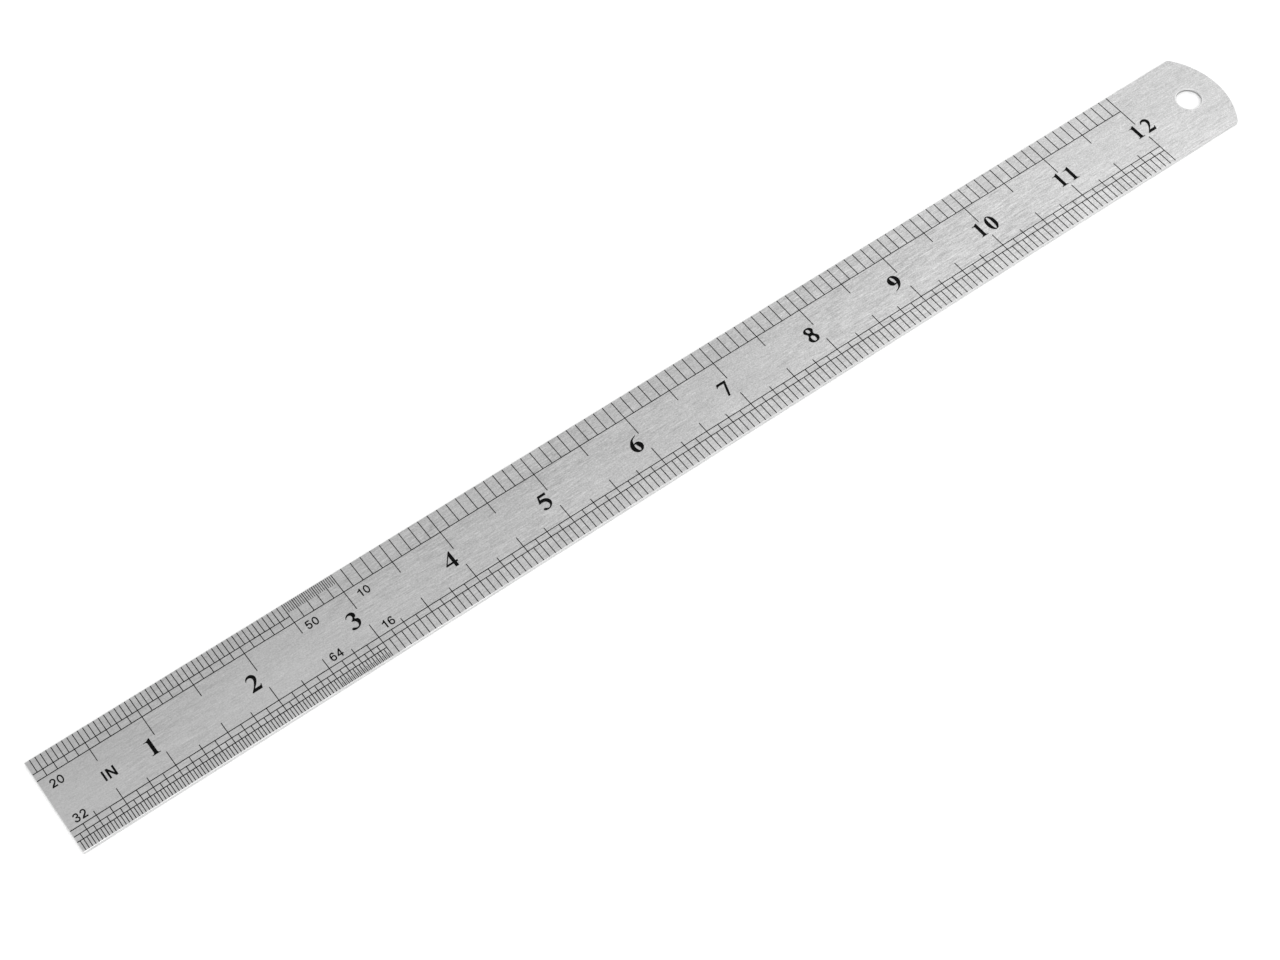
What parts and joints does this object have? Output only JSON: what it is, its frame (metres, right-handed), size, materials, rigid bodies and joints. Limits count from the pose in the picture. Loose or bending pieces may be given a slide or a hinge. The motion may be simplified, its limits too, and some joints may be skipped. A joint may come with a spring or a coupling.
{
  "type": "steel ruler",
  "caption": "Flat steel ruler with inch graduations along both long edges, a square zero end and a rounded end with a hanging hole.",
  "frame": {"origin": "on the back face, under the middle of the blade's bounding box", "axes": "+X from the zero end towards the hanging hole, +Y towards the decimal-inch edge, +Z out of the marked face"},
  "size_m": [0.3302, 0.0254, 0.0011],
  "materials": {
    "brushed_steel": "fine brushed grain along the length, satin",
    "black_enamel": "black enamel in the etched marks, semi-matt"
  },
  "bodies": {
    "root": {"blade": "brushed_steel", "label_10_tens": "black_enamel", "label_10_units": "black_enamel", "label_16_tens": "black_enamel", "label_16_units": "black_enamel", "label_20_tens": "black_enamel", "label_20_units": "black_enamel", "label_32_tens": "black_enamel", "label_32_units": "black_enamel", "label_50_tens": "black_enamel", "label_50_units": "black_enamel", "label_64_tens": "black_enamel", "label_64_units": "black_enamel", "lower_scale": "black_enamel", "numeral_1": "black_enamel", "numeral_10_tens": "black_enamel", "numeral_10_units": "black_enamel", "numeral_11_tens": "black_enamel", "numeral_11_units": "black_enamel", "numeral_12_tens": "black_enamel", "numeral_12_units": "black_enamel", "numeral_2": "black_enamel", "numeral_3": "black_enamel", "numeral_4": "black_enamel", "numeral_5": "black_enamel", "numeral_6": "black_enamel", "numeral_7": "black_enamel", "numeral_8": "black_enamel", "numeral_9": "black_enamel", "unit_letter_i": "black_enamel", "unit_letter_n": "black_enamel", "upper_scale": "black_enamel"}
  },
  "joints": []
}
